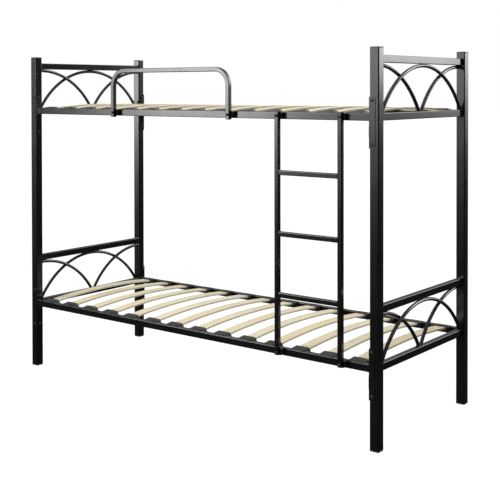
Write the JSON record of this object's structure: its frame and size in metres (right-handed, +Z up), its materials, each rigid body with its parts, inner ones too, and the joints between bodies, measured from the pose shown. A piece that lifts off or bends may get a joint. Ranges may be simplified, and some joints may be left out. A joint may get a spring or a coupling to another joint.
{
  "type": "bunk bed with ladder",
  "caption": "Metal bunk bed: square posts, arched rod ends, sprung plywood slats, a bolted ladder and a hooped guard rail on the upper bed.",
  "frame": {"origin": "middle of the footprint, on the floor", "axes": "+X along the bed towards the ladder end, +Y from the ladder side to the back, +Z up"},
  "size_m": [1.98, 0.852, 1.565],
  "materials": {
    "black_powder_coat": "satin black powder coat",
    "black_fasteners": "black coated steel bolts and nuts",
    "black_plastic": "moulded black plastic",
    "birch_plywood": "pale varnished birch plywood"
  },
  "bodies": {
    "root": {"bracket_bolts": "black_fasteners", "guard_rail": "black_powder_coat", "guard_rail_bolts": "black_fasteners", "guard_rail_nuts": "black_fasteners", "guard_rail_plugs": "black_plastic", "guard_rail_spacers": "black_plastic", "ladder_bolts": "black_fasteners", "ladder_end_plugs": "black_plastic", "ladder_left_stile": "black_powder_coat", "ladder_nuts": "black_fasteners", "ladder_right_stile": "black_powder_coat", "ladder_rung_1": "black_powder_coat", "ladder_rung_2": "black_powder_coat", "ladder_rung_3": "black_powder_coat", "ladder_spacers": "black_plastic", "lower_back_side_rail": "black_powder_coat", "lower_back_slat_holders": "black_plastic", "lower_bracket_back_left": "black_powder_coat", "lower_bracket_back_right": "black_powder_coat", "lower_bracket_front_left": "black_powder_coat", "lower_bracket_front_right": "black_powder_coat", "lower_front_side_rail": "black_powder_coat", "lower_front_slat_holders": "black_plastic", "lower_left_bed_end_rail": "black_powder_coat", "lower_left_full_arch": "black_powder_coat", "lower_left_half_arch_back": "black_powder_coat", "lower_left_half_arch_front": "black_powder_coat", "lower_left_head_rail": "black_powder_coat", "lower_right_bed_end_rail": "black_powder_coat", "lower_right_full_arch": "black_powder_coat", "lower_right_half_arch_back": "black_powder_coat", "lower_right_half_arch_front": "black_powder_coat", "lower_right_head_rail": "black_powder_coat", "lower_slats": "birch_plywood", "post_back_left": "black_powder_coat", "post_back_right": "black_powder_coat", "post_caps": "black_plastic", "post_feet": "black_plastic", "post_front_left": "black_powder_coat", "post_front_right": "black_powder_coat", "upper_back_side_rail": "black_powder_coat", "upper_back_slat_holders": "black_plastic", "upper_bracket_back_left": "black_powder_coat", "upper_bracket_back_right": "black_powder_coat", "upper_bracket_front_left": "black_powder_coat", "upper_bracket_front_right": "black_powder_coat", "upper_front_side_rail": "black_powder_coat", "upper_front_slat_holders": "black_plastic", "upper_left_bed_end_rail": "black_powder_coat", "upper_left_full_arch": "black_powder_coat", "upper_left_half_arch_back": "black_powder_coat", "upper_left_half_arch_front": "black_powder_coat", "upper_left_head_rail": "black_powder_coat", "upper_right_bed_end_rail": "black_powder_coat", "upper_right_full_arch": "black_powder_coat", "upper_right_half_arch_back": "black_powder_coat", "upper_right_half_arch_front": "black_powder_coat", "upper_right_head_rail": "black_powder_coat", "upper_slats": "birch_plywood"}
  },
  "joints": []
}
